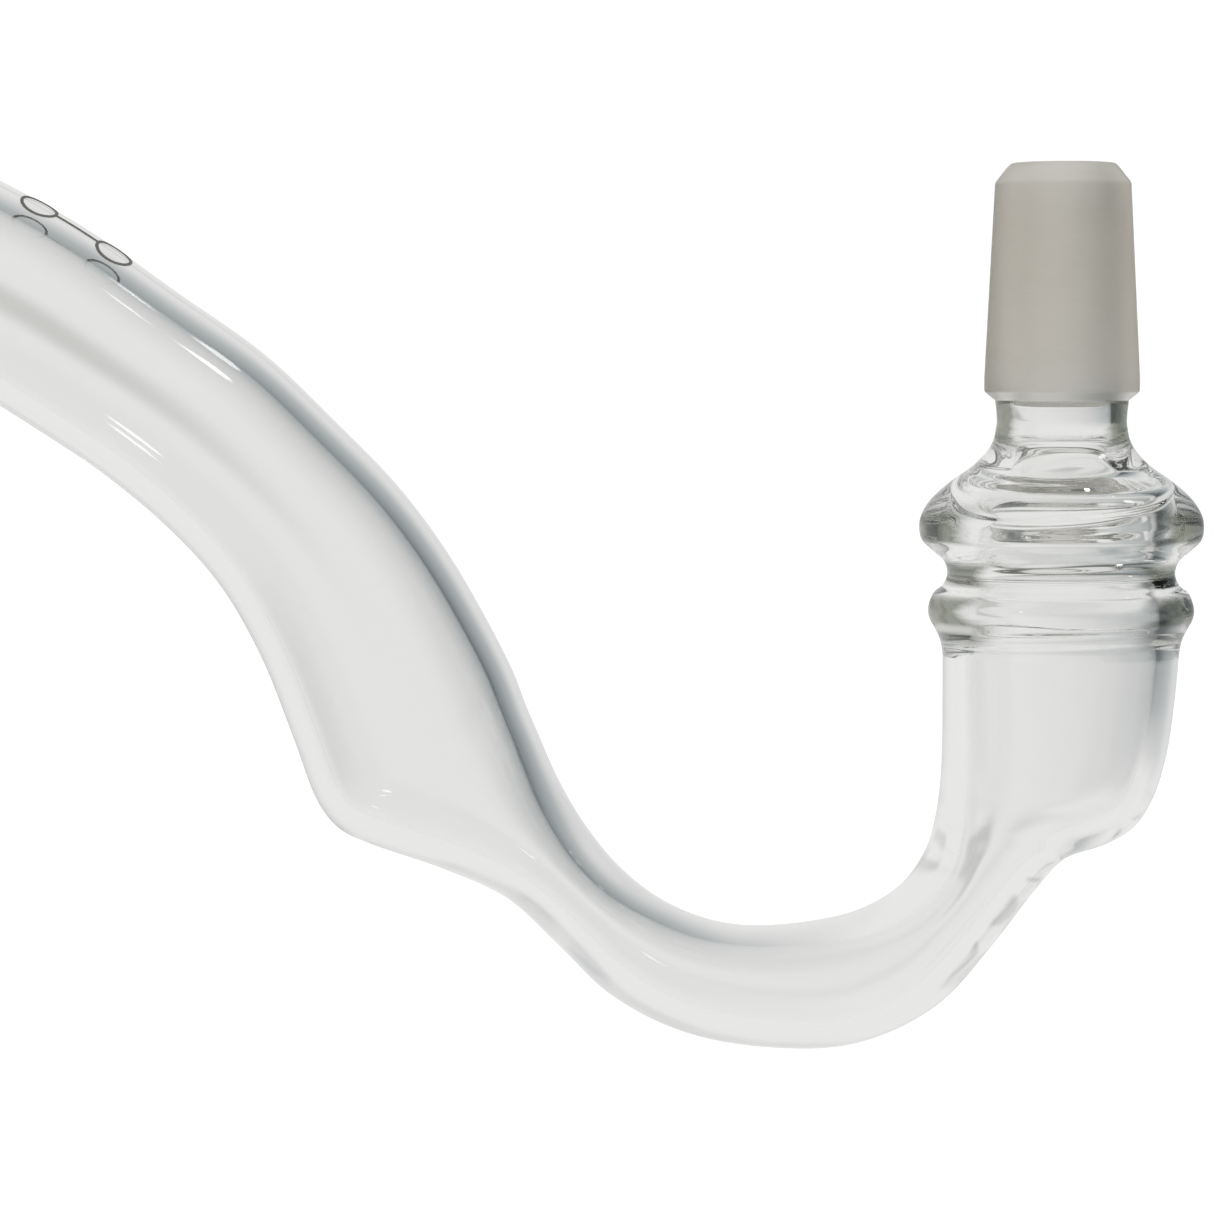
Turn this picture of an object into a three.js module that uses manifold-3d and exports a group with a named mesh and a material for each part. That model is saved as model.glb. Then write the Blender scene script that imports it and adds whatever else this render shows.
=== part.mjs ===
// A bent glass tube adapter: a ground male cone on a ringed collar, an inlet tube that turns
// through a pinched return bend, and a swan neck that rises into a long outlet tube.
// Millimetres, +Z up. The origin is the centre of the ground cone's large end, the cone's tip
// points to +Z, and the whole tube bends in the XZ plane, so Y is the direction across it.

import * as THREE from "three";
import { mergeVertices } from "three/addons/utils/BufferGeometryUtils.js";
import Module from "manifold-3d";

// ---- Driving dimensions ---------------------------------------------------------------------

// Standard 14/20 taper joint: 14.5 mm across the large end, 20 mm long, 1 in 10 on the diameter.
const CONE_LARGE_RADIUS = 7.25;
const CONE_LENGTH = 20;
const CONE_TAPER = 1 / 10;

const TIP_BEVEL_DEPTH = 1.8; // length of the bevel that leads the cone into its socket
const TIP_EDGE_RADIUS = 5.2;
const TIP_FACE_RADIUS = 4.85;
const TIP_BORE_RADIUS = 4.1;
const TIP_BORE_DEPTH = 6; // the bore opens out to the neck's bore over this length
const NECK_BORE_RADIUS = 4.6;
const LAND_LENGTH = 1.3; // parallel band below the cone's large end

const TUBE_RADIUS = 11.05; // inlet tube, outside
const TUBE_WALL = 2.1;
const INLET_TOP = -26.1; // height where the collar meets the inlet tube

const MOUTH_BEAD_LENGTH = 3.4; // fire-polished lip on the open end
const MOUTH_BEAD_SWELL = 0.55;

const SEGMENTS = 28; // sides of every round section, a multiple of 4
const COLLAR_STEPS = 2; // rings between two neighbouring points of the collar's curves

// The collar's outside from the cone's land to the inlet tube, as [radius, height]. The curve
// runs down the neck, out over the shoulder, round the upper ring, in at the waist and round
// the lower ring.
const COLLAR_OUTSIDE = [
  [6.25, -2.1],
  [6.1, -3.4],
  [6.12, -4.6],
  [6.6, -6.3],
  [8.15, -8.1],
  [10.5, -9.8],
  [12.15, -11.3],
  [13.05, -12.7],
  [13.3, -13.9],
  [13.05, -15.2],
  [12.0, -16.25],
  [11.0, -17.15],
  [10.65, -18.3],
  [11.05, -19.4],
  [11.95, -20.2],
  [12.42, -21.5],
  [12.3, -22.6],
  [11.7, -23.7],
  [11.25, -24.8],
  [TUBE_RADIUS, INLET_TOP],
];

// The collar's inside: a straight bore, a hollow under the shoulder, a throat inside the big
// ring, and a chamber as wide as the tube.
const COLLAR_INSIDE = [
  [NECK_BORE_RADIUS, -2.1],
  [NECK_BORE_RADIUS, -4.6],
  [NECK_BORE_RADIUS, -6.3],
  [4.65, -9.0],
  [5.1, -10.8],
  [6.4, -11.6],
  [7.7, -12.1],
  [8.2, -12.9],
  [7.9, -14.0],
  [7.3, -15.1],
  [7.2, -16.0],
  [7.9, -17.0],
  [8.9, -18.3],
  [9.1, -19.9],
  [9.3, -21.5],
  [9.3, -23.2],
  [9.0, -24.8],
  [TUBE_RADIUS - TUBE_WALL, INLET_TOP],
];

// Where the collar's pieces meet: positions in the two lists above, at the same height.
const NECK_FOOT = { outside: 3, inside: 2 };
const WAIST = { outside: 12, inside: 12 };

// The tube's stations. Each holds the [x, z] of the edge inside the hook, the [x, z] of the
// edge outside it, and half the tube's width across, in Y. The section is an ellipse.
const TUBE_STATIONS = [
  [[-11.05, INLET_TOP], [11.05, INLET_TOP], TUBE_RADIUS],
  [[-11.05, -30.1], [10.65, -30.5], 11.0],
  [[-11.05, -33.9], [9.95, -35.3], 10.9],
  [[-11.15, -36.9], [8.75, -39.3], 10.7],
  [[-11.3, -38.7], [6.95, -42.1], 10.5],
  [[-11.45, -40.1], [4.25, -43.7], 10.2],
  [[-11.7, -41.5], [0.5, -45.0], 9.8],
  [[-12.4, -44.1], [-2.4, -48.1], 9.4],
  [[-14.7, -47.6], [-6.2, -53.1], 9.0],
  [[-18.5, -50.0], [-11.65, -59.1], 8.7],
  [[-23.6, -51.25], [-19.0, -62.6], 8.5],
  [[-29.6, -51.6], [-27.4, -63.0], 8.5],
  [[-33.6, -50.85], [-35.5, -61.5], 8.6],
  [[-37.7, -49.0], [-42.3, -58.0], 8.8],
  [[-41.35, -46.1], [-47.3, -53.2], 9.1],
  [[-44.55, -42.2], [-52.1, -48.8], 9.5],
  [[-47.05, -37.95], [-58.0, -46.1], 10.0],
  [[-49.2, -33.1], [-65.0, -43.7], 10.4],
  [[-50.3, -30.5], [-67.7, -42.4], 10.6],
  [[-51.35, -27.7], [-69.7, -40.0], 10.7],
  [[-54.3, -21.9], [-72.1, -33.7], 10.6],
  [[-57.9, -15.85], [-75.1, -26.1], 10.2],
  [[-62.3, -10.0], [-79.0, -19.3], 9.8],
  [[-67.85, -4.3], [-84.0, -13.8], 9.5],
  [[-74.6, 2.15], [-90.2, -8.7], 9.4],
  [[-82.6, 7.85], [-97.4, -3.9], 9.3],
  [[-91.8, 14.25], [-105.0, 0.8], 9.25],
  [[-101.6, 19.6], [-112.4, 4.8], 9.2],
  [[-113.4, 25.35], [-120.6, 8.45], 9.2],
  [[-125.65, 29.95], [-131.35, 12.45], 9.2],
  [[-138.5, 33.4], [-142.5, 15.4], 9.2],
  [[-150.65, 35.6], [-153.35, 17.4], 9.2],
  [[-155.8, 36.32], [-158.2, 18.08], 9.2],
];

// Where the tube's pieces meet, as positions in TUBE_STATIONS.
const INLET_FOOT = 4;
const BEND_BOTTOM = 12;
const NECK_TOP = 22;
const TUBE_END = TUBE_STATIONS.length - 1;

// The printed mark: two outline ovals joined by a bar, on top of the outlet tube.
const MARK_START = 25.45; // position along TUBE_STATIONS
const MARK_LENGTH = 12;
const MARK_SPAN_LENGTH = 11.5; // distance between two neighbouring stations there
const MARK_HALF_HEIGHT = 1.9;
const MARK_OVAL_HALF_LENGTH = 1.8;
const MARK_ANGLE = -0.3; // turned from the top towards the -Y side
const INK_WIDTH = 0.3;
const INK_THICKNESS = 0.1;
const INK_LIFT = 0.05; // clear gap between the ink and the faceted glass

// ---- Materials ------------------------------------------------------------------------------

function clearGlass() {
  return new THREE.MeshStandardMaterial({ color: 0xe3e6e2, roughness: 0.05, metalness: 0 });
}

function groundGlass() {
  return new THREE.MeshStandardMaterial({ color: 0xafaca1, roughness: 0.85, metalness: 0 });
}

function ink() {
  return new THREE.MeshStandardMaterial({ color: 0x55564f, roughness: 0.6, metalness: 0 });
}

// ---- Revolved pieces ------------------------------------------------------------------------

// Points along a smooth curve through a list of [radius, height], from one listed point to another.
function curvePoints(list, from, to) {
  const curve = new THREE.SplineCurve(list.map(([r, z]) => new THREE.Vector2(r, z)));
  const points = [];
  for (let step = from * COLLAR_STEPS; step <= to * COLLAR_STEPS; step++) {
    points.push(curve.getPoint(step / COLLAR_STEPS / (list.length - 1)));
  }
  return points;
}

// A solid of revolution about Z. The profile runs once round the section of the wall.
function revolved(profile) {
  const geometry = new THREE.LatheGeometry([...profile, profile[0].clone()], SEGMENTS);
  return geometry.rotateX(Math.PI / 2);
}

function coneRadiusAt(height) {
  return CONE_LARGE_RADIUS - (height * CONE_TAPER) / 2;
}

// The ground cone with its parallel land and its bevelled tip. Its foot tapers in to the neck.
function groundCone() {
  const bevelFoot = CONE_LENGTH - TIP_BEVEL_DEPTH;
  const tipEdgeDrop = TIP_EDGE_RADIUS - TIP_FACE_RADIUS;
  const [neckRadius, neckTop] = COLLAR_OUTSIDE[0];
  return revolved([
    new THREE.Vector2(NECK_BORE_RADIUS, neckTop),
    new THREE.Vector2(neckRadius, neckTop),
    new THREE.Vector2(CONE_LARGE_RADIUS, -LAND_LENGTH),
    new THREE.Vector2(CONE_LARGE_RADIUS, 0),
    new THREE.Vector2(coneRadiusAt(bevelFoot), bevelFoot),
    new THREE.Vector2(TIP_EDGE_RADIUS, CONE_LENGTH - tipEdgeDrop),
    new THREE.Vector2(TIP_FACE_RADIUS, CONE_LENGTH),
    new THREE.Vector2(TIP_BORE_RADIUS, CONE_LENGTH),
    new THREE.Vector2(NECK_BORE_RADIUS, CONE_LENGTH - TIP_BORE_DEPTH),
  ]);
}

// A stretch of the collar between two heights, from the outside and the inside curves.
function collarPiece(top, foot) {
  const outside = curvePoints(COLLAR_OUTSIDE, top.outside, foot.outside);
  const inside = curvePoints(COLLAR_INSIDE, top.inside, foot.inside);
  return revolved([...inside, ...outside.reverse()]);
}

function jointNeck() {
  return collarPiece({ outside: 0, inside: 0 }, NECK_FOOT);
}

function shoulderRing() {
  return collarPiece(NECK_FOOT, WAIST);
}

function weldRing() {
  const foot = { outside: COLLAR_OUTSIDE.length - 1, inside: COLLAR_INSIDE.length - 1 };
  return collarPiece(WAIST, foot);
}

// ---- The tube -------------------------------------------------------------------------------

function edgeCurve(side) {
  const points = TUBE_STATIONS.map((station) => {
    const [x, z] = station[side];
    return new THREE.Vector3(x, 0, z);
  });
  return new THREE.CatmullRomCurve3(points, false, "centripetal");
}

const insideEdge = edgeCurve(0);
const outsideEdge = edgeCurve(1);
const halfWidths = new THREE.SplineCurve(
  TUBE_STATIONS.map(([, , halfWidth], index) => new THREE.Vector2(index, halfWidth)),
);

// The tube's section at a position along its stations: its centre, its axes and its half sizes.
function sectionAt(position) {
  const t = position / TUBE_END;
  const inner = insideEdge.getPoint(t);
  const outer = outsideEdge.getPoint(t);
  return {
    centre: inner.clone().add(outer).multiplyScalar(0.5),
    up: inner.clone().sub(outer).normalize(),
    halfHeight: inner.distanceTo(outer) / 2,
    halfWidth: halfWidths.getPoint(t).y,
  };
}

const ACROSS = new THREE.Vector3(0, 1, 0);

// A point on a section's ellipse, offset outwards by a distance. The angle is 0 at the edge
// inside the hook and a quarter turn on the +Y side.
function pointOnSection(section, angle, offset) {
  return section.centre
    .clone()
    .addScaledVector(section.up, (section.halfHeight + offset) * Math.cos(angle))
    .addScaledVector(ACROSS, (section.halfWidth + offset) * Math.sin(angle));
}

function ringOf(section, offset) {
  const ring = [];
  for (let k = 0; k < SEGMENTS; k++) {
    ring.push(pointOnSection(section, (2 * Math.PI * k) / SEGMENTS, offset));
  }
  return ring;
}

// A closed surface over rings of equal point counts, each joined to the next and the last to
// the first. With closedRing each ring's last point is joined to its first as well.
function skin(rings) {
  const count = rings[0].length;
  const positions = rings.flat().flatMap((point) => point.toArray());
  const index = [];
  for (let i = 0; i < rings.length; i++) {
    const next = (i + 1) % rings.length;
    for (let k = 0; k < count; k++) {
      const kNext = (k + 1) % count;
      const a = i * count + k;
      const b = i * count + kNext;
      const c = next * count + kNext;
      const d = next * count + k;
      index.push(a, b, c, a, c, d);
    }
  }
  const geometry = new THREE.BufferGeometry();
  geometry.setAttribute("position", new THREE.Float32BufferAttribute(positions, 3));
  geometry.setIndex(index);
  geometry.computeVertexNormals();
  return geometry;
}

// The tube's wall between two stations, as one closed skin round its outside, its far end,
// its bore and its near end.
function tubePiece(from, to) {
  const sections = [];
  for (let station = from; station <= to; station++) {
    sections.push(sectionAt(station));
  }
  const outside = sections.map((section) => ringOf(section, 0));
  const bore = sections.map((section) => ringOf(section, -TUBE_WALL));
  return skin([...outside, ...bore.reverse()]);
}

// The fire-polished lip: the wall swells a little and its end is rounded over. An odd number of
// arc steps leaves a narrow flat on the very end.
function mouthBead() {
  const end = sectionAt(TUBE_END);
  const outwards = new THREE.Vector3().crossVectors(end.up, ACROSS);
  const wallMiddle = -TUBE_WALL / 2;
  const roundRadius = TUBE_WALL / 2 + MOUTH_BEAD_SWELL;
  const ringAt = (distance, offset) => {
    const centre = end.centre.clone().addScaledVector(outwards, distance);
    return ringOf({ ...end, centre }, offset);
  };
  const rings = [ringAt(0, -TUBE_WALL), ringAt(0, 0)];
  const arcSteps = 9;
  const arcCentre = MOUTH_BEAD_LENGTH - roundRadius;
  for (let k = 0; k <= arcSteps; k++) {
    const angle = Math.PI * (k / arcSteps);
    const distance = arcCentre + roundRadius * Math.sin(angle);
    rings.push(ringAt(distance, wallMiddle + roundRadius * Math.cos(angle)));
  }
  return skin(rings);
}

// ---- The printed mark -----------------------------------------------------------------------

// A point of the mark on the glass, from its distance along the tube and its distance round it.
function markPoint(along, round, lift) {
  const section = sectionAt(MARK_START + along / MARK_SPAN_LENGTH);
  return pointOnSection(section, MARK_ANGLE + round / section.halfWidth, lift);
}

// An ink line of rectangular section along a path of [along, round] points.
function inkLine(path, closed) {
  const rings = path.map(([along, round], i) => {
    const before = path[closed ? (i + path.length - 1) % path.length : Math.max(i - 1, 0)];
    const after = path[closed ? (i + 1) % path.length : Math.min(i + 1, path.length - 1)];
    const heading = new THREE.Vector2(after[0] - before[0], after[1] - before[1]).normalize();
    const side = new THREE.Vector2(-heading.y, heading.x).multiplyScalar(INK_WIDTH / 2);
    const corner = (sign, lift) => markPoint(along + sign * side.x, round + sign * side.y, lift);
    const top = INK_LIFT + INK_THICKNESS;
    return [corner(-1, top), corner(1, top), corner(1, INK_LIFT), corner(-1, INK_LIFT)];
  });
  if (closed) return skin(rings);
  return cappedSkin(rings);
}

// The same surface as skin() makes, but open at its two ends and closed there by flat caps.
function cappedSkin(rings) {
  const geometry = skin(rings);
  const sides = geometry.index.array.slice(0, (rings.length - 1) * rings[0].length * 6);
  const last = (rings.length - 1) * rings[0].length;
  const caps = [0, 2, 1, 0, 3, 2, last, last + 1, last + 2, last, last + 2, last + 3];
  geometry.setIndex([...sides, ...caps]);
  return geometry;
}

function ovalPath(centreAlong) {
  const path = [];
  const points = 24;
  for (let k = 0; k < points; k++) {
    const angle = (2 * Math.PI * k) / points;
    path.push([
      centreAlong + MARK_OVAL_HALF_LENGTH * Math.cos(angle),
      MARK_HALF_HEIGHT * Math.sin(angle),
    ]);
  }
  return path;
}

function barPath(from, to) {
  const steps = 8;
  const path = [];
  for (let k = 0; k <= steps; k++) {
    path.push([from + ((to - from) * k) / steps, 0]);
  }
  return path;
}

const wasm = await Module();
wasm.setup();

function toSolid(geometry) {
  const bare = new THREE.BufferGeometry();
  bare.setAttribute("position", geometry.getAttribute("position"));
  bare.setIndex(geometry.index);
  const merged = mergeVertices(bare);
  return new wasm.Manifold(
    new wasm.Mesh({
      numProp: 3,
      vertProperties: new Float32Array(merged.attributes.position.array),
      triVerts: new Uint32Array(merged.index.array),
    }),
  );
}

function toGeometry(solid) {
  const mesh = solid.getMesh();
  const geometry = new THREE.BufferGeometry();
  geometry.setAttribute("position", new THREE.BufferAttribute(mesh.vertProperties, 3));
  geometry.setIndex(new THREE.BufferAttribute(mesh.triVerts, 1));
  geometry.computeVertexNormals();
  return geometry;
}

function printedMark() {
  const firstOval = MARK_OVAL_HALF_LENGTH;
  const lastOval = MARK_LENGTH - MARK_OVAL_HALF_LENGTH;
  const bar = barPath(firstOval + MARK_OVAL_HALF_LENGTH, lastOval - MARK_OVAL_HALF_LENGTH);
  const lines = [
    inkLine(ovalPath(firstOval), true),
    inkLine(ovalPath(lastOval), true),
    inkLine(bar, false),
  ];
  const [first, ...rest] = lines.map(toSolid);
  return toGeometry(rest.reduce((joined, line) => joined.add(line), first));
}

// ---- Assembly -------------------------------------------------------------------------------

const PIECES = [
  ["ground_cone", groundCone(), groundGlass()],
  ["joint_neck", jointNeck(), clearGlass()],
  ["shoulder_ring", shoulderRing(), clearGlass()],
  ["weld_ring", weldRing(), clearGlass()],
  ["inlet_tube", tubePiece(0, INLET_FOOT), clearGlass()],
  ["return_bend", tubePiece(INLET_FOOT, BEND_BOTTOM), clearGlass()],
  ["swan_neck", tubePiece(BEND_BOTTOM, NECK_TOP), clearGlass()],
  ["outlet_tube", tubePiece(NECK_TOP, TUBE_END), clearGlass()],
  ["mouth_bead", mouthBead(), clearGlass()],
  ["printed_mark", printedMark(), ink()],
];

const adapter = new THREE.Group();
for (const [name, geometry, material] of PIECES) {
  const mesh = new THREE.Mesh(geometry, material);
  mesh.name = name;
  adapter.add(mesh);
}

export default adapter;
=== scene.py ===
import math

import bpy
import numpy as np
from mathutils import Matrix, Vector

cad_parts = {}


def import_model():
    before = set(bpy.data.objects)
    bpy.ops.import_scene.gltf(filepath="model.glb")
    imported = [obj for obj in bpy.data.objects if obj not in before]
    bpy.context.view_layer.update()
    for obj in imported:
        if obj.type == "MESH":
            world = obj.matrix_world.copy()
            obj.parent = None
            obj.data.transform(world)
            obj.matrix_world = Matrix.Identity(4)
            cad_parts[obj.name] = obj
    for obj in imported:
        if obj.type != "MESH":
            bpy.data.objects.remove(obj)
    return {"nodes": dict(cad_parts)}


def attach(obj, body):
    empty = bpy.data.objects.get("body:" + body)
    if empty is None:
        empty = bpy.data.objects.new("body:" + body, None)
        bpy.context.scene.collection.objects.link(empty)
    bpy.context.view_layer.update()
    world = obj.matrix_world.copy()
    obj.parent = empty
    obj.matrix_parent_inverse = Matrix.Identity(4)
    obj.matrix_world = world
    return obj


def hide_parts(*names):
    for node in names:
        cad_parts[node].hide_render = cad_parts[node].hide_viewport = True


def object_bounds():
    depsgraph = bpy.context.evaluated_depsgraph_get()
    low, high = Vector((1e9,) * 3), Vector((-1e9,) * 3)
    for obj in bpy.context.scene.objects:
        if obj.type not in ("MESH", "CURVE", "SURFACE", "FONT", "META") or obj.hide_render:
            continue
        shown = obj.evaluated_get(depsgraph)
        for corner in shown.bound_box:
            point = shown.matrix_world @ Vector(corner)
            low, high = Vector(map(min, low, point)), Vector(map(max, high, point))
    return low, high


# A bent glass tube adapter with a ground male cone, rendered in the frame of its CAD model.
# Lengths are written in millimetres, as the CAD has them, and turned into metres by MM.

MM = 0.001

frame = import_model()
CAD_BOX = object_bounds()

# ---- The object's shape, in millimetres ------------------------------------------------------

CONE_LARGE_RADIUS = 7.25
CONE_LENGTH = 20.0
CONE_TAPER = 0.1
TIP_BEVEL_DEPTH = 1.8
TIP_EDGE_RADIUS = 5.2
TIP_FACE_RADIUS = 4.85
TIP_BORE_RADIUS = 4.1
TIP_BORE_STRAIGHT = 0.8
TIP_BORE_DEPTH = 6.0
NECK_BORE_RADIUS = 4.6
LAND_LENGTH = 1.3
TUBE_RADIUS = 11.05
TUBE_WALL = 2.1
INLET_TOP = -26.1
MOUTH_BEAD_LENGTH = 3.4
MOUTH_BEAD_SWELL = 0.55

COLLAR_OUTSIDE = [
    (6.25, -2.1), (6.1, -3.4), (6.12, -4.6), (6.6, -6.3), (8.15, -8.1), (10.5, -9.8),
    (12.15, -11.3), (13.05, -12.7), (13.3, -13.9), (13.05, -15.2), (12.0, -16.25),
    (11.0, -17.15), (10.65, -18.3), (11.05, -19.4), (11.95, -20.2), (12.42, -21.5),
    (12.3, -22.6), (11.7, -23.7), (11.25, -24.8), (TUBE_RADIUS, INLET_TOP),
]

COLLAR_INSIDE = [
    (NECK_BORE_RADIUS, -2.1), (NECK_BORE_RADIUS, -4.6), (NECK_BORE_RADIUS, -6.3),
    (4.65, -9.0), (5.1, -10.8), (6.4, -11.6), (7.7, -12.1), (8.2, -12.9), (7.9, -14.0),
    (7.3, -15.1), (7.2, -16.0), (7.9, -17.0), (8.9, -18.3), (9.1, -19.9), (9.3, -21.5),
    (9.3, -23.2), (9.0, -24.8), (TUBE_RADIUS - TUBE_WALL, INLET_TOP),
]

# Positions in the outside and the inside list where two pieces meet.
NECK_FOOT = (3, 2)
WAIST = (12, 12)

# The edge inside the hook, the edge outside it and half the width across, at each station.
TUBE_STATIONS = [
    ((-11.05, INLET_TOP), (11.05, INLET_TOP), TUBE_RADIUS),
    ((-11.05, -30.1), (10.65, -30.5), 11.0),
    ((-11.05, -33.9), (9.95, -35.3), 10.9),
    ((-11.15, -36.9), (8.75, -39.3), 10.7),
    ((-11.3, -38.7), (6.95, -42.1), 10.5),
    ((-11.45, -40.1), (4.25, -43.7), 10.2),
    ((-11.7, -41.5), (0.5, -45.0), 9.8),
    ((-12.4, -44.1), (-2.4, -48.1), 9.4),
    ((-14.7, -47.6), (-6.2, -53.1), 9.0),
    ((-18.5, -50.0), (-11.65, -59.1), 8.7),
    ((-23.6, -51.25), (-19.0, -62.6), 8.5),
    ((-29.6, -51.6), (-27.4, -63.0), 8.5),
    ((-33.6, -50.85), (-35.5, -61.5), 8.6),
    ((-37.7, -49.0), (-42.3, -58.0), 8.8),
    ((-41.35, -46.1), (-47.3, -53.2), 9.1),
    ((-44.55, -42.2), (-52.1, -48.8), 9.5),
    ((-47.05, -37.95), (-58.0, -46.1), 10.0),
    ((-49.2, -33.1), (-65.0, -43.7), 10.4),
    ((-50.3, -30.5), (-67.7, -42.4), 10.6),
    ((-51.35, -27.7), (-69.7, -40.0), 10.7),
    ((-54.3, -21.9), (-72.1, -33.7), 10.6),
    ((-57.9, -15.85), (-75.1, -26.1), 10.2),
    ((-62.3, -10.0), (-79.0, -19.3), 9.8),
    ((-67.85, -4.3), (-84.0, -13.8), 9.5),
    ((-74.6, 2.15), (-90.2, -8.7), 9.4),
    ((-82.6, 7.85), (-97.4, -3.9), 9.3),
    ((-91.8, 14.25), (-105.0, 0.8), 9.25),
    ((-101.6, 19.6), (-112.4, 4.8), 9.2),
    ((-113.4, 25.35), (-120.6, 8.45), 9.2),
    ((-125.65, 29.95), (-131.35, 12.45), 9.2),
    ((-138.5, 33.4), (-142.5, 15.4), 9.2),
    ((-150.65, 35.6), (-153.35, 17.4), 9.2),
    ((-155.8, 36.32), (-158.2, 18.08), 9.2),
]

# Stations where two pieces meet.
INLET_FOOT = 4
BEND_BOTTOM = 12
NECK_TOP = 22
TUBE_END = len(TUBE_STATIONS) - 1

# The wall inside the hook, at some stations: thinner at the bottom of the bend.
CROOK_WALLS = [
    (0, TUBE_WALL), (3, 2.3), (8, 2.3), (11, 1.8), (13, 1.8), (16, 2.3), (TUBE_END - 4, 2.3),
    (TUBE_END, TUBE_WALL),
]

# Ridges round the inside of the collar: height, how far they stand out, half width, phase.
COLLAR_RIDGES = [
    (-13.7, 0.14, 0.40, 0.3), (-14.8, -0.10, 0.35, 1.1), (-16.8, 0.12, 0.45, 2.4),
    (-18.9, -0.07, 0.40, 0.0), (-20.4, 0.08, 0.50, 3.6), (-22.6, 0.05, 0.35, 5.0),
    (-24.6, 0.13, 0.45, 4.2),
]
RIDGE_UNEVENNESS = 0.5  # the part of a ridge's depth that comes and goes round it
# How the inside of the collar is out of round: lobes, depth, phase, and phase for each mm up.
COLLAR_LOBES = [(2, 0.18, 0.9, 0.3), (3, 0.1, -0.5, 0.0)]
# How the inside's shelves tilt: height, and how far it rises at one side and falls at the other.
# The phase turns the tilt round the axis.
SHELF_TILT = [(-15.5, -0.4), (-13.5, -0.2), (-11.5, 0.35), (-9.0, 0.1)]
TILT_PHASE = 0.5
WAVES_TOP = -7.5  # all this unevenness starts below this height
WAVES_GROWTH = 2.5  # the stretch below that height in which it grows
WAVES_DECAY = 1.5  # the stretch above the tube in which it dies away

SEGMENTS = 128  # points round every section
COLLAR_STEPS = 10  # rings between two neighbouring points of the collar's curves
TUBE_PITCH = 0.7  # distance between two rings of the tube
FEWEST_RINGS = 4  # rings between two neighbouring stations of the tube
WIDTH_STEPS = 24  # steps between two stations of the curve of half widths
BORE_SMOOTHING = 6  # passes over the bore's edge curves
CORNER_ROUNDING = 0.25  # how far from a corner of the cone its rounding starts
CORNER_SHARE = 0.45  # the largest part of a side that one rounding takes
CORNER_STEPS = 6
BEAD_SWELL_RINGS = 12  # rings on each side of the lip, where the tube swells into it
BEAD_ARC_RINGS = 28  # rings round the lip itself

# ---- Curves ----------------------------------------------------------------------------------


def cubic(p1, p2, start, end, count):
    """count points from p1 on towards p2, of the cubic that has these slopes at its ends."""
    points = []
    for t in np.arange(count) / count:
        bend = (2 * p1 - 2 * p2 + start + end) * t ** 3
        points.append(bend + (-3 * p1 + 3 * p2 - 2 * start - end) * t ** 2 + start * t + p1)
    return points


def clamped_spline(points, steps):
    """A uniform Catmull-Rom curve that repeats its end points, with steps per span."""
    points = np.array(points, float)
    padded = np.vstack([points[0], points, points[-1]])
    out = []
    for p0, p1, p2, p3 in zip(padded, padded[1:], padded[2:], padded[3:]):
        out += cubic(p1, p2, (p2 - p0) / 2, (p3 - p1) / 2, steps)
    return np.array(out + [points[-1]])


def centripetal_spline(points, counts):
    """A centripetal Catmull-Rom curve through points, with counts[i] steps in span i."""
    points = np.array(points, float)
    padded = np.vstack([2 * points[0] - points[1], points, 2 * points[-1] - points[-2]])
    out = []
    for i, count in enumerate(counts):
        p0, p1, p2, p3 = padded[i : i + 4]
        d0, d1, d2 = (math.sqrt(np.linalg.norm(b - a)) for a, b in ((p0, p1), (p1, p2), (p2, p3)))
        start = ((p1 - p0) / d0 - (p2 - p0) / (d0 + d1) + (p2 - p1) / d1) * d1
        end = ((p2 - p1) / d1 - (p3 - p1) / (d1 + d2) + (p3 - p2) / d2) * d1
        out += cubic(p1, p2, start, end, count)
    return np.array(out + [points[-1]])


def rounded_profile(points):
    """A polyline of (r, z) whose inner corners are rounded with a small quadratic curve."""
    points = [np.array(p, float) for p in points]
    out = [points[0]]
    for before, corner, after in zip(points, points[1:], points[2:]):
        ends = []
        for other in (before, after):
            share = min(CORNER_ROUNDING / np.linalg.norm(other - corner), CORNER_SHARE)
            ends.append(corner + (other - corner) * share)
        for t in np.arange(CORNER_STEPS + 1) / CORNER_STEPS:
            out.append(ends[0] * (1 - t) ** 2 + 2 * corner * t * (1 - t) + ends[1] * t ** 2)
    return out + [points[-1]]


# ---- Rings of points -------------------------------------------------------------------------

ANGLES = 2 * np.pi * np.arange(SEGMENTS) / SEGMENTS
ACROSS = np.array([0.0, 1.0, 0.0])


def circle(radius, height):
    """A level ring round the cone's axis. Angle 0 is on the side inside the hook."""
    ring = [-radius * np.cos(ANGLES), radius * np.sin(ANGLES), np.full(SEGMENTS, height)]
    return np.stack(ring, axis=1)


def in_space(flat):
    """Points (x, z) of the plane of the bend, as points (x, 0, z)."""
    return np.column_stack([flat[:, 0], np.zeros(len(flat)), flat[:, 1]])


def sections(crook, heel):
    """Centres, up axes and half heights of sections that span two edge curves."""
    reach = (crook - heel) / 2
    half_heights = np.linalg.norm(reach, axis=1)
    return in_space((crook + heel) / 2), in_space(reach / half_heights[:, None]), half_heights


def moved_in(edge, other, depth):
    """An edge curve moved squarely towards the other edge, and smoothed a little."""
    slope = np.gradient(edge, axis=0)
    normal = np.column_stack([-slope[:, 1], slope[:, 0]])
    normal /= np.linalg.norm(normal, axis=1, keepdims=True)
    normal *= np.sign(np.sum(normal * (other - edge), axis=1, keepdims=True))
    moved = edge + normal * depth[:, None]
    for _ in range(BORE_SMOOTHING):
        moved[1:-1] = (moved[:-2] + 2 * moved[1:-1] + moved[2:]) / 4
    return moved


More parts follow.
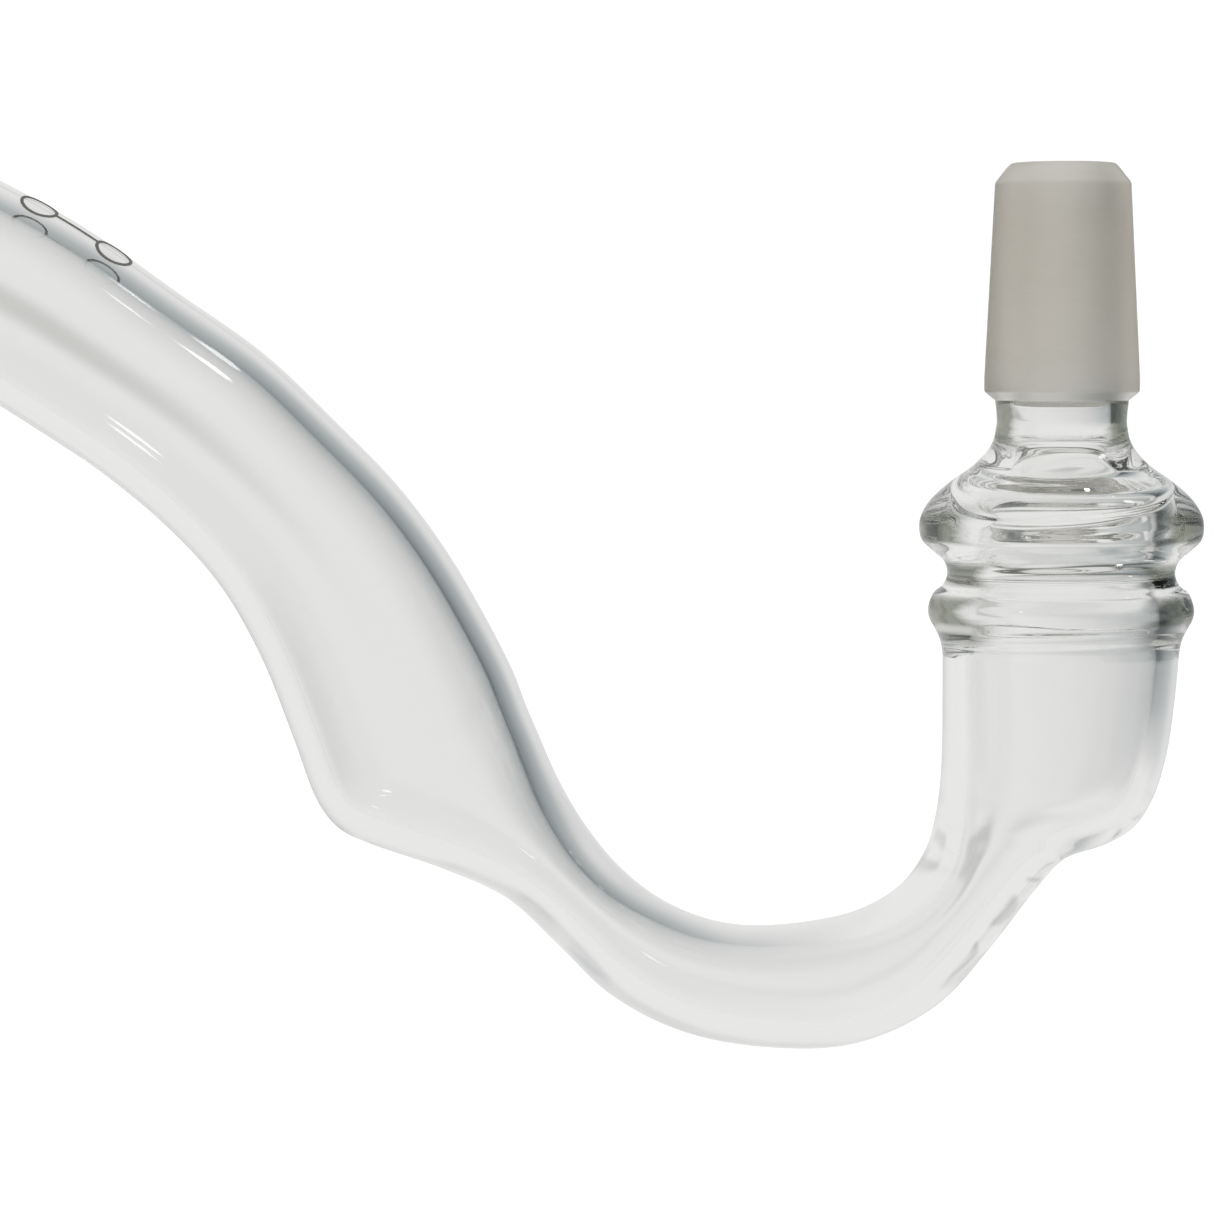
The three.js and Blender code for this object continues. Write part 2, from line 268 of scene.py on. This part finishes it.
def tube_curves():
    """The two edge curves, the half widths, and the station of every section."""
    edges = [np.array([station[side] for station in TUBE_STATIONS], float) for side in (0, 1)]
    spans = np.linalg.norm(np.diff((edges[0] + edges[1]) / 2, axis=0), axis=1)
    counts = [max(FEWEST_RINGS, math.ceil(span / TUBE_PITCH)) for span in spans]
    crook, heel = (centripetal_spline(edge, counts) for edge in edges)
    widths = [station[2] for station in TUBE_STATIONS]
    stations = np.concatenate([i + np.arange(n) / n for i, n in enumerate(counts)] + [[TUBE_END]])
    smooth = clamped_spline(np.column_stack([range(len(widths)), widths]), WIDTH_STEPS)
    half_widths = np.interp(stations, smooth[:, 0], smooth[:, 1])
    return crook, heel, half_widths, stations


CROOK, HEEL, HALF_WIDTHS, STATIONS = tube_curves()
OUTSIDE = sections(CROOK, HEEL)
CROOK_WALL = np.interp(STATIONS, *zip(*CROOK_WALLS))
BORE = sections(
    moved_in(CROOK, HEEL, CROOK_WALL), moved_in(HEEL, CROOK, np.full(len(HEEL), TUBE_WALL))
)


def ellipse(index, sections_of, offset, narrowed=0.0, shift=0.0):
    """The section with that index: offset outwards, narrowed across, and shifted along the
    tube."""
    centres, ups, half_heights = sections_of
    up = ups[index]
    outwards = np.cross(up, ACROSS)
    height = (half_heights[index] + offset) * np.cos(ANGLES)
    width = (HALF_WIDTHS[index] - narrowed + offset) * np.sin(ANGLES)
    ring = centres[index] + outwards * shift + np.outer(height, up)
    return ring + np.outer(width, ACROSS)


def station_index(station):
    """The ring of the tube at a station."""
    return int(np.argmin(abs(STATIONS - station)))


def revolve(profile):
    return [circle(r, z) for r, z in profile]


def tube_rings(sections_of, narrowed):
    return [ellipse(i, sections_of, 0.0, narrowed) for i in range(len(STATIONS))]


def bead_rings():
    """The fire-polished lip, from the outside of the tube round to its bore."""
    radius = TUBE_WALL / 2 + MOUTH_BEAD_SWELL
    arc_centre = MOUTH_BEAD_LENGTH - radius
    outside = []
    bore = []
    for t in np.arange(BEAD_SWELL_RINGS) / BEAD_SWELL_RINGS:
        swell = MOUTH_BEAD_SWELL * t * t * (3 - 2 * t)
        outside.append((swell, arc_centre * t))
        bore.insert(0, (-TUBE_WALL - swell, arc_centre * t))
    lip = []
    for angle in math.pi * np.arange(BEAD_ARC_RINGS + 1) / BEAD_ARC_RINGS:
        offset = -TUBE_WALL / 2 + radius * math.cos(angle)
        lip.append((offset, arc_centre + radius * math.sin(angle)))
    return [ellipse(-1, OUTSIDE, offset, 0.0, shift) for offset, shift in outside + lip + bore]


# ---- The two long walls ----------------------------------------------------------------------


def cone_radius(height):
    return CONE_LARGE_RADIUS - height * CONE_TAPER / 2


def cone_profile():
    """The ground cone's outside, from the middle of the tip's flat face to the neck."""
    bevel_foot = CONE_LENGTH - TIP_BEVEL_DEPTH
    neck_radius, neck_top = COLLAR_OUTSIDE[0]
    corners = [
        ((TIP_BORE_RADIUS + TIP_FACE_RADIUS) / 2, CONE_LENGTH),
        (TIP_FACE_RADIUS, CONE_LENGTH),
        (TIP_EDGE_RADIUS, CONE_LENGTH - (TIP_EDGE_RADIUS - TIP_FACE_RADIUS)),
        (cone_radius(bevel_foot), bevel_foot),
        (cone_radius(bevel_foot / 2), bevel_foot / 2),
        (CONE_LARGE_RADIUS, 0.0),
        (CONE_LARGE_RADIUS, -LAND_LENGTH),
        (neck_radius, neck_top),
    ]
    return rounded_profile(corners)


def bore_profile():
    """The cone's bore, from the middle of the tip's flat face to the neck."""
    corners = [
        ((TIP_BORE_RADIUS + TIP_FACE_RADIUS) / 2, CONE_LENGTH),
        (TIP_BORE_RADIUS, CONE_LENGTH),
        (TIP_BORE_RADIUS, CONE_LENGTH - TIP_BORE_STRAIGHT),
        (NECK_BORE_RADIUS, CONE_LENGTH - TIP_BORE_DEPTH),
        (NECK_BORE_RADIUS, CONE_LENGTH / 2),
        (NECK_BORE_RADIUS, COLLAR_INSIDE[0][1]),
    ]
    return rounded_profile(corners)


def collar_waves(rings):
    """The uneven inside of the hand-made collar: it is out of round, its shelves tilt, and
    ridges run round it. The unevenness fades out towards the neck and the tube."""
    rings = np.array(rings)
    height = rings[:, :, 2]
    growth = np.clip((WAVES_TOP - height) / WAVES_GROWTH, 0, 1)
    fade = growth * np.clip((height - INLET_TOP) / WAVES_DECAY, 0, 1)
    push = 0
    for lobes, depth, phase, twist in COLLAR_LOBES:
        push = push + depth * np.cos(lobes * ANGLES + phase + twist * height)
    for level, depth, reach, phase in COLLAR_RIDGES:
        strength = depth * (1 + RIDGE_UNEVENNESS * np.sin(2 * ANGLES + phase))
        push = push + strength * np.exp(-(((height - level) / reach) ** 2))
    push = push * fade
    tilt = np.interp(height, *zip(*SHELF_TILT)) * fade * np.cos(ANGLES + TILT_PHASE)
    rings[:, :, 0] += push * np.cos(ANGLES)
    rings[:, :, 1] -= push * np.sin(ANGLES)
    rings[:, :, 2] += tilt
    return rings


class Wall:
    """One side of the glass, as rings from the cone's tip to the open mouth."""

    def __init__(self, tip, collar, sections_of, narrowed):
        collar_curve = clamped_spline(collar, COLLAR_STEPS)
        self.cone_foot = len(tip) - 1
        rings = revolve(tip) + revolve(collar_curve[1:])
        self.collar_foot = len(rings) - 1
        rings += tube_rings(sections_of, narrowed)[1:]
        self.points = np.array(rings)

    def collar_index(self, position):
        return self.cone_foot + position * COLLAR_STEPS

    def tube_index(self, station):
        return self.collar_foot + station_index(station)


def wall_normals(points, sign):
    """Smooth normals of a wall's rings, from the slopes along and round it."""
    along = np.gradient(points, axis=0)
    round_it = np.roll(points, -1, axis=1) - np.roll(points, 1, axis=1)
    normals = np.cross(round_it, along) * sign
    return normals / np.linalg.norm(normals, axis=2, keepdims=True)


OUTER = Wall(cone_profile(), COLLAR_OUTSIDE, OUTSIDE, 0.0)
INNER = Wall(bore_profile(), COLLAR_INSIDE, BORE, TUBE_WALL)
INNER.points[: INNER.collar_foot] = collar_waves(INNER.points[: INNER.collar_foot])
OUTER_NORMALS = wall_normals(OUTER.points, 1)
INNER_NORMALS = wall_normals(INNER.points, -1)


# ---- Meshes ----------------------------------------------------------------------------------

GLASS, SEAM, FROST, RIM = 0, 1, 2, 3  # material slots of every glass piece


def mesh_object(name, vertices, faces, materials, face_material, face_smooth, normals):
    """A mesh with the given normals on its smooth faces, and flat ones on the others."""
    mesh = bpy.data.meshes.new(name)
    mesh.from_pydata((np.asarray(vertices) * MM).tolist(), [], faces)
    for material in materials:
        mesh.materials.append(material)
    mesh.polygons.foreach_set("material_index", face_material)
    mesh.polygons.foreach_set("use_smooth", face_smooth)
    corners = np.zeros(len(mesh.loops), np.int32)
    mesh.loops.foreach_get("vertex_index", corners)
    loop_normals = np.asarray(normals)[corners]
    for polygon in mesh.polygons:
        if not polygon.use_smooth:
            loop_normals[list(polygon.loop_indices)] = polygon.normal
    mesh.normals_split_custom_set(loop_normals.tolist())
    mesh.update()
    piece = bpy.data.objects.new(name, mesh)
    bpy.context.scene.collection.objects.link(piece)
    return piece


def ring_solid(name, rings, normals, kinds, materials):
    """A closed skin over rings in a loop. kinds[i] is the material of the band after ring i,
    and SEAM bands are flat."""
    rings = np.asarray(rings)
    count, around = rings.shape[:2]
    grid = np.arange(count * around).reshape(count, around)
    following = np.roll(grid, -1, axis=0)
    quads = np.stack(
        [grid, np.roll(grid, -1, axis=1), np.roll(following, -1, axis=1), following], axis=-1
    )
    bands = np.repeat(np.asarray(kinds, np.int32), around)
    smooth = bands != SEAM
    return mesh_object(
        name,
        rings.reshape(-1, 3),
        quads.reshape(-1, 4).tolist(),
        materials,
        bands,
        smooth,
        np.asarray(normals).reshape(-1, 3),
    )


def glass_piece(name, nodes, outer_range, inner_range, materials, outer_kind=GLASS, tip=False):
    """A stretch of the fused glass between two cuts. Its cut ends are seams, which show
    nothing, because the glass runs on through them. A tip is closed by its own flat face, and
    its outer kind ends at the foot of its land."""
    o0, o1 = outer_range
    i0, i1 = inner_range
    outside = OUTER.points[o0 : o1 + 1]
    inside = INNER.points[i0 : i1 + 1][::-1]
    rings = np.concatenate([outside, inside])
    normals = np.concatenate([OUTER_NORMALS[o0 : o1 + 1], INNER_NORMALS[i0 : i1 + 1][::-1]])
    kinds = [outer_kind] * (len(outside) - 1) + [SEAM] + [GLASS] * (len(inside) - 1) + [SEAM]
    if tip:
        for ring in np.flatnonzero(outside[:-1, 0, 2] < -LAND_LENGTH):
            kinds[ring] = GLASS
        rings = rings[:-1]  # the outside and the bore share the ring on the tip's face
        normals = normals[:-1]
        kinds = kinds[:-1]
    piece = ring_solid(name, rings, normals, kinds, materials)
    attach(piece, "root")
    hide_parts(*nodes)
    return piece


# ---- Material nodes --------------------------------------------------------------------------


def new_material(name):
    material = bpy.data.materials.new(name)
    material.use_nodes = True
    tree = material.node_tree
    tree.nodes.clear()
    output = tree.nodes.new("ShaderNodeOutputMaterial")
    return material, tree, output


def feed(tree, socket, value):
    """Set an input to a number or a colour, or link it to another node's output."""
    if isinstance(value, bpy.types.NodeSocket):
        tree.links.new(value, socket)
    elif isinstance(value, tuple):
        socket.default_value = (*value, 1)
    else:
        socket.default_value = value


def math_node(tree, operation, *values):
    node = tree.nodes.new("ShaderNodeMath")
    node.operation = operation
    for socket, value in zip(node.inputs, values):
        feed(tree, socket, value)
    return node.outputs[0]


def place_node(tree, kind):
    return tree.nodes.new("ShaderNodeTexCoord").outputs[kind]


def part_node(tree, vector, axis):
    """The part of a vector along X, Y or Z."""
    split = tree.nodes.new("ShaderNodeSeparateXYZ")
    tree.links.new(vector, split.inputs[0])
    return split.outputs[axis]


def noise_node(tree, vector, scale, detail):
    noise = tree.nodes.new("ShaderNodeTexNoise")
    noise.inputs["Scale"].default_value = scale
    noise.inputs["Detail"].default_value = detail
    tree.links.new(vector, noise.inputs["Vector"])
    return noise.outputs["Fac"]


def ring_noise_node(tree, level_scale, scale, detail):
    """Noise with a smaller scale across than upwards, so that it looks like level rings."""
    stretch = tree.nodes.new("ShaderNodeMapping")
    stretch.inputs["Scale"].default_value = (level_scale, level_scale, 1.0)
    tree.links.new(place_node(tree, "Object"), stretch.inputs["Vector"])
    return noise_node(tree, stretch.outputs["Vector"], scale, detail)


def ramp_node(tree, value, stops):
    ramp = tree.nodes.new("ShaderNodeValToRGB")
    elements = ramp.color_ramp.elements
    while len(elements) < len(stops):
        elements.new(0.5)
    for element, (position, colour) in zip(elements, stops):
        element.position = position
        element.color = (*colour, 1)
    tree.links.new(value, ramp.inputs["Fac"])
    return ramp.outputs["Color"]


def range_node(tree, value, low, high, kind="LINEAR"):
    """0 at low, 1 at high and a ramp between them. low may be above high."""
    step = tree.nodes.new("ShaderNodeMapRange")
    step.interpolation_type = kind
    step.inputs["From Min"].default_value = low
    step.inputs["From Max"].default_value = high
    tree.links.new(value, step.inputs["Value"])
    return step.outputs["Result"]


def smooth_step(tree, value, low, high):
    return range_node(tree, value, low, high, "SMOOTHSTEP")


def mixed(tree, factor, first, second, blend="MIX"):
    mix = tree.nodes.new("ShaderNodeMix")
    mix.data_type = "RGBA"
    mix.blend_type = blend
    feed(tree, mix.inputs["Factor"], factor)
    feed(tree, mix.inputs["A"], first)
    feed(tree, mix.inputs["B"], second)
    return mix.outputs["Result"]


def principled(tree, output, colour, roughness):
    shader = tree.nodes.new("ShaderNodeBsdfPrincipled")
    feed(tree, shader.inputs["Base Color"], colour)
    shader.inputs["Roughness"].default_value = roughness
    tree.links.new(shader.outputs["BSDF"], output.inputs["Surface"])
    return shader


def glass_shader(tree, output, tint, roughness, relief, strength, distance):
    """A glass surface with a tint for each crossing, and a relief in its surface."""
    shader = principled(tree, output, tint, roughness)
    shader.inputs["IOR"].default_value = GLASS_IOR
    shader.inputs["Transmission Weight"].default_value = 1.0
    bump = tree.nodes.new("ShaderNodeBump")
    bump.inputs["Strength"].default_value = strength
    bump.inputs["Distance"].default_value = distance * MM
    tree.links.new(relief, bump.inputs["Height"])
    tree.links.new(bump.outputs["Normal"], shader.inputs["Normal"])


# ---- Materials -------------------------------------------------------------------------------

# The scale of a noise is in waves for each metre.
GLASS_IOR = 1.47
CLEAR_TINT = (0.979, 0.979, 0.978)
CONE_BORE_TINT = (0.975, 0.98, 0.976)
CONE_BORE_ROUGHNESS = 0.3

DRAW_WAVE = (160.0, 1.0)  # scale and detail
DRAW_WAVE_BUMP = (0.12, 0.02)  # strength, and height in millimetres

# The collar's rim gets a painted shade: dark green-grey where it is seen at a slant.
RIM_SHADE_TINTS = ((0.985, 0.99, 0.98), (0.11, 0.12, 0.09))  # glass seen straight on, and a dark painted shade at a slant
RIM_SLANT = (0.36, 0.56)  # where the rim's painted shade starts and is full
RIM_STEEPNESS = (0.75, 0.35)  # level faces have none of it, and upright ones have it all
RIM_STREAKS = (0.12, 900.0, 3.0)  # level scale, scale and detail
RIM_STREAK_STRENGTH = 0.30
RIM_FADE = 2.4  # the stretch above the tube in which the painted shade dies away

GROUND_ROUGHNESS = 0.65
GROUND_RINGS = (0.15, 4200.0, 4.0)
GROUND_GRAIN = (6500.0, 2.0)
GROUND_GRAIN_BUMP = (0.4, 0.015)
GROUND_CLOUDS = (260.0, 2.0)
GROUND_SHADES = [(0.25, (0.90, 0.90, 0.90)), (0.75, (1.0, 1.0, 1.0))]
BEVEL_FOOT = (CONE_LENGTH - TIP_BEVEL_DEPTH + LAND_LENGTH) / (CONE_LENGTH + LAND_LENGTH)
GROUND_TINTS = [  # from the foot of the land to the tip
    (0.0, (0.86, 0.83, 0.77)),
    (0.14, (0.79, 0.755, 0.69)),
    (0.5, (0.77, 0.73, 0.66)),
    (BEVEL_FOOT - 0.012, (0.76, 0.72, 0.65)),
    (BEVEL_FOOT + 0.004, (0.99, 0.98, 0.93)),
    (1.0, (1.0, 0.99, 0.94)),
]

INK_SHADES = [(0.0, (0.22, 0.22, 0.19)), (1.0, (0.34, 0.34, 0.30))]
INK_MOTTLE = (2500.0, 2.0)
INK_ROUGHNESS = 0.5


def clear_glass(name, tint, roughness=0.0):
    """Clear borosilicate: smooth, slightly tinted, with a faint draw-wave in its surface."""
    material, tree, output = new_material(name)
    wave = noise_node(tree, place_node(tree, "Object"), *DRAW_WAVE)
    glass_shader(tree, output, tint, roughness, wave, *DRAW_WAVE_BUMP)
    return material


def collar_glass_with_painted_shade():
    """The thick glass of the collar, with a dark green-grey painted shade where it is seen at a
    slant through its rim, and streaks in that shade that run round it."""
    material, tree, output = new_material("collar_glass_with_painted_shade")
    facing = tree.nodes.new("ShaderNodeLayerWeight")
    facing.inputs["Blend"].default_value = 0.5
    slope = math_node(tree, "ABSOLUTE", part_node(tree, place_node(tree, "Normal"), "Z"))
    upright = smooth_step(tree, slope, *RIM_STEEPNESS)
    streaks = ring_noise_node(tree, *RIM_STREAKS)
    slant = math_node(tree, "MULTIPLY_ADD", streaks, RIM_STREAK_STRENGTH, facing.outputs["Facing"])
    rim = smooth_step(tree, slant, *RIM_SLANT)
    height = part_node(tree, place_node(tree, "Object"), "Z")
    above_tube = smooth_step(tree, height, INLET_TOP * MM, (INLET_TOP + RIM_FADE) * MM)
    # depth is the mask of the rim's painted shade, where the rim is seen at a slant
    depth = math_node(tree, "MULTIPLY", math_node(tree, "MULTIPLY", rim, upright), above_tube)
    wave = noise_node(tree, place_node(tree, "Object"), *DRAW_WAVE)
    # painted shade: the rim's tint goes dark green-grey under that mask
    tint = mixed(tree, depth, *RIM_SHADE_TINTS)
    glass_shader(tree, output, tint, 0.0, wave, *DRAW_WAVE_BUMP)
    return material


def seam_material():
    """The cut between two fused pieces, where light goes straight through."""
    material, tree, output = new_material("fused_seam")
    shader = tree.nodes.new("ShaderNodeBsdfTransparent")
    tree.links.new(shader.outputs["BSDF"], output.inputs["Surface"])
    return material


def ground_glass():
    """The frosted cone: rough all over, with fine rings left by the grinding. The tip's bevel
    is lighter."""
    material, tree, output = new_material("ground_glass")
    place = place_node(tree, "Object")
    rings = ring_noise_node(tree, *GROUND_RINGS)
    grain = noise_node(tree, place, *GROUND_GRAIN)
    clouds = noise_node(tree, place, *GROUND_CLOUDS)
    height = range_node(tree, part_node(tree, place, "Z"), -LAND_LENGTH * MM, CONE_LENGTH * MM)
    along = ramp_node(tree, height, GROUND_TINTS)
    average = math_node(tree, "MULTIPLY", math_node(tree, "ADD", rings, clouds), 0.5)
    shade = ramp_node(tree, average, GROUND_SHADES)
    tint = mixed(tree, 1.0, along, shade, "MULTIPLY")
    glass_shader(tree, output, tint, GROUND_ROUGHNESS, grain, *GROUND_GRAIN_BUMP)
    return material


def printed_ink():
    """Dark ink, a little mottled where the print is thin."""
    material, tree, output = new_material("printed_ink")
    mottle = noise_node(tree, place_node(tree, "Object"), *INK_MOTTLE)
    principled(tree, output, ramp_node(tree, mottle, INK_SHADES), INK_ROUGHNESS)
    return material


# ---- The studio ------------------------------------------------------------------------------

CAMERA_DISTANCE = 0.400
CAMERA_ELEVATION = math.radians(3.2)
CAMERA_SENSOR = 36.0
CAMERA_CLIP = (0.01, 20.0)
VIEW_CENTRE = Vector((-42.6, 0, -21.5)) * MM
VIEW_WIDTH = 114.0 * MM

BACKDROP_STRENGTH = 1.05
FLOOR_REACH = 3.0
FLOOR_DROP = 0.5 * MM  # how far it is below the object
FLOOR_COLOUR = (0.5, 0.5, 0.49)
FLOOR_ROUGHNESS = 0.9
FLOOR_GLOW = (1, 1, 0.99)
FLOOR_GLOW_STRENGTH = 0.95

# What the glass sees, as a radiance for each direction. A direction is a unit vector with x to
# the right, y away from the camera and z up. Each zone has the two values between which it
# sets in.
RIGHT, INWARDS, UP = (1, 0, 0), (0, 1, 0), (0, 0, 1)
PALE = (0.82, 0.82, 0.808)
SWEEP_AXIS = (1.0, 0.0, 0.3)
SWEEP = [  # behind the object, from the left to the right
    (0.0, PALE),
    (0.1, (0.77, 0.77, 0.76)),
    (0.2, (0.69, 0.69, 0.685)),
    (0.3, (0.575, 0.59, 0.59)),
    (0.42, (0.44, 0.465, 0.47)),
    (0.6, (0.33, 0.36, 0.37)),
    (0.72, (0.25, 0.275, 0.285)),
    (0.85, (0.10, 0.115, 0.12)),
]
SWEEP_FOOT = (-0.3, -0.05)  # up, and below it the sweep is pale
STREAK = (0.60, 0.60, 0.585)  # a dim band low behind the object
STREAK_AXIS = (0.33, 0, 0.94)
STREAK_LEVEL = -0.03  # along that axis
STREAK_EDGE = (0.055, 0.005)  # from that level
STREAK_MIDDLE = -0.22  # to the right
STREAK_END = (0.19, 0.09)  # from that middle
DARK = (0.12, 0.125, 0.11)
DARK_TO_SWEEP = (0.12, 0.45)  # inwards
FRONT = (0.66, 0.66, 0.65)
FRONT_EDGE = (-0.3, -0.6)  # inwards
BELOW_EDGE = (-0.3, -0.6)  # up
SIDE = (0.55, 0.55, 0.54)
SIDE_EDGE = (0.9, 0.97)  # to the right, or to the left
LAMP_FROM = Vector((0.53, 0.09, 0.84)).normalized()
LAMP_EDGE = (math.radians(3.674), math.radians(2.51))
LAMP_RADIANCE = (8.0, 8.0, 8.0)


def camera():
    data = bpy.data.cameras.new("camera")
    data.sensor_width = CAMERA_SENSOR
    data.lens = data.sensor_width * CAMERA_DISTANCE / VIEW_WIDTH
    data.clip_start, data.clip_end = CAMERA_CLIP
    cam = bpy.data.objects.new("camera", data)
    back = Vector((0, -math.cos(CAMERA_ELEVATION), math.sin(CAMERA_ELEVATION)))
    cam.location = VIEW_CENTRE + back * CAMERA_DISTANCE
    cam.rotation_euler = (-back).to_track_quat("-Z", "Y").to_euler()
    bpy.context.scene.collection.objects.link(cam)
    bpy.context.scene.camera = cam


def for_camera(tree, output, seen_by_glass, seen_by_camera):
    """Show the camera one shader, and all other rays another."""
    path = tree.nodes.new("ShaderNodeLightPath")
    choose = tree.nodes.new("ShaderNodeMixShader")
    tree.links.new(path.outputs["Is Camera Ray"], choose.inputs["Fac"])
    tree.links.new(seen_by_glass.outputs[0], choose.inputs[1])
    tree.links.new(seen_by_camera.outputs[0], choose.inputs[2])
    tree.links.new(choose.outputs["Shader"], output.inputs["Surface"])


def floor(height):
    """A plain floor for the camera. The glass sees the sweep of the world in its place."""
    signs = [(-1, -1), (1, -1), (1, 1), (-1, 1)]
    corners = [(x * FLOOR_REACH, y * FLOOR_REACH, height) for x, y in signs]
    mesh = bpy.data.meshes.new("floor")
    mesh.from_pydata(corners, [], [(0, 1, 2, 3)])
    material, tree, output = new_material("pale_floor")
    shader = principled(tree, output, FLOOR_COLOUR, FLOOR_ROUGHNESS)
    shader.inputs["Specular IOR Level"].default_value = 0.0
    shader.inputs["Emission Color"].default_value = (*FLOOR_GLOW, 1)
    shader.inputs["Emission Strength"].default_value = FLOOR_GLOW_STRENGTH
    for_camera(tree, output, tree.nodes.new("ShaderNodeBsdfTransparent"), shader)
    mesh.materials.append(material)
    plane = bpy.data.objects.new("floor", mesh)
    bpy.context.scene.collection.objects.link(plane)


def along_node(tree, axis):
    """How far each direction of the world goes along an axis."""
    dot = tree.nodes.new("ShaderNodeVectorMath")
    dot.operation = "DOT_PRODUCT"
    dot.inputs[1].default_value = axis
    tree.links.new(place_node(tree, "Generated"), dot.inputs[0])
    return dot.outputs["Value"]


def distance_node(tree, axis, middle):
    """How far each direction is, along an axis, from a place on it."""
    return math_node(tree, "ABSOLUTE", math_node(tree, "SUBTRACT", along_node(tree, axis), middle))


def world():
    """White behind the object, as the camera sees it. As the glass sees it, a bright sweep on
    the left and below, which dims to blue grey on the right and above, a dark zone between
    that and a mid grey front, mid grey sides, and one small bright lamp overhead."""
    scene_world = bpy.data.worlds.new("studio")
    bpy.context.scene.world = scene_world
    scene_world.use_nodes = True
    tree = scene_world.node_tree
    tree.nodes.clear()
    inwards, upwards = along_node(tree, INWARDS), along_node(tree, UP)

    sweep = ramp_node(tree, along_node(tree, SWEEP_AXIS), SWEEP)
    behind = mixed(tree, smooth_step(tree, upwards, *SWEEP_FOOT), PALE, sweep)
    band = smooth_step(tree, distance_node(tree, STREAK_AXIS, STREAK_LEVEL), *STREAK_EDGE)
    ends = smooth_step(tree, distance_node(tree, RIGHT, STREAK_MIDDLE), *STREAK_END)
    behind = mixed(tree, math_node(tree, "MULTIPLY", band, ends), behind, STREAK)

    around = mixed(tree, smooth_step(tree, inwards, *DARK_TO_SWEEP), DARK, behind)
    around = mixed(tree, smooth_step(tree, inwards, *FRONT_EDGE), around, FRONT)
    around = mixed(tree, smooth_step(tree, upwards, *BELOW_EDGE), around, PALE)
    around = mixed(tree, smooth_step(tree, distance_node(tree, RIGHT, 0.0), *SIDE_EDGE), around, SIDE)
    lamp_edge = [math.cos(angle) for angle in LAMP_EDGE]
    lamp = smooth_step(tree, along_node(tree, tuple(LAMP_FROM)), *lamp_edge)

    surroundings = tree.nodes.new("ShaderNodeBackground")
    feed(tree, surroundings.inputs["Color"], mixed(tree, lamp, around, LAMP_RADIANCE))
    backdrop = tree.nodes.new("ShaderNodeBackground")
    backdrop.inputs["Color"].default_value = (1, 1, 1, 1)
    backdrop.inputs["Strength"].default_value = BACKDROP_STRENGTH
    output = tree.nodes.new("ShaderNodeOutputWorld")
    for_camera(tree, output, surroundings, backdrop)


def render_settings():
    scene = bpy.context.scene
    scene.view_settings.view_transform = "Standard"
    scene.cycles.max_bounces = 32
    scene.cycles.transmission_bounces = 32
    scene.cycles.glossy_bounces = 16
    scene.cycles.transparent_max_bounces = 64  # a ray goes through many seams
    scene.cycles.caustics_reflective = True
    scene.cycles.caustics_refractive = True
    scene.cycles.use_denoising = True


# ---- Assembly --------------------------------------------------------------------------------

camera()
world()
render_settings()
floor(CAD_BOX[0].z - FLOOR_DROP)

CLEAR = clear_glass("clear_glass", CLEAR_TINT)
MATERIALS = [CLEAR, seam_material(), ground_glass(), collar_glass_with_painted_shade()]
CONE_BORE = clear_glass("cone_bore_glass", CONE_BORE_TINT, CONE_BORE_ROUGHNESS)
CONE_MATERIALS = [CONE_BORE, *MATERIALS[1:]]

cone = glass_piece(
    "ground_cone_glass", ["ground_cone"], (0, OUTER.cone_foot), (0, INNER.cone_foot),
    CONE_MATERIALS, FROST, tip=True,
)

COLLAR_NODES = ["joint_neck", "shoulder_ring", "weld_ring"]
COLLAR_CUTS = [(0, 0), NECK_FOOT, WAIST, (len(COLLAR_OUTSIDE) - 1, len(COLLAR_INSIDE) - 1)]
for node, top, foot in zip(COLLAR_NODES, COLLAR_CUTS, COLLAR_CUTS[1:]):
    stretch = glass_piece(
        node + "_glass",
        [node],
        (OUTER.collar_index(top[0]), OUTER.collar_index(foot[0])),
        (INNER.collar_index(top[1]), INNER.collar_index(foot[1])),
        MATERIALS,
        RIM,
    )

TUBE_NODES = ["inlet_tube", "return_bend", "swan_neck", "outlet_tube"]
TUBE_CUTS = [0, INLET_FOOT, BEND_BOTTOM, NECK_TOP, TUBE_END]
for node, start, end in zip(TUBE_NODES, TUBE_CUTS, TUBE_CUTS[1:]):
    stretch = glass_piece(
        node + "_glass",
        [node],
        (OUTER.tube_index(start), OUTER.tube_index(end)),
        (INNER.tube_index(start), INNER.tube_index(end)),
        MATERIALS,
    )

bead = np.array(bead_rings())
bead_normals = wall_normals(bead, 1)
bead_kinds = [GLASS] * (len(bead) - 1) + [SEAM]
lip = ring_solid("mouth_bead_glass", bead, bead_normals, bead_kinds, MATERIALS)
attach(lip, "root")
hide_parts("mouth_bead")

mark = frame["nodes"]["printed_mark"]
mark.data.materials.clear()
mark.data.materials.append(printed_ink())
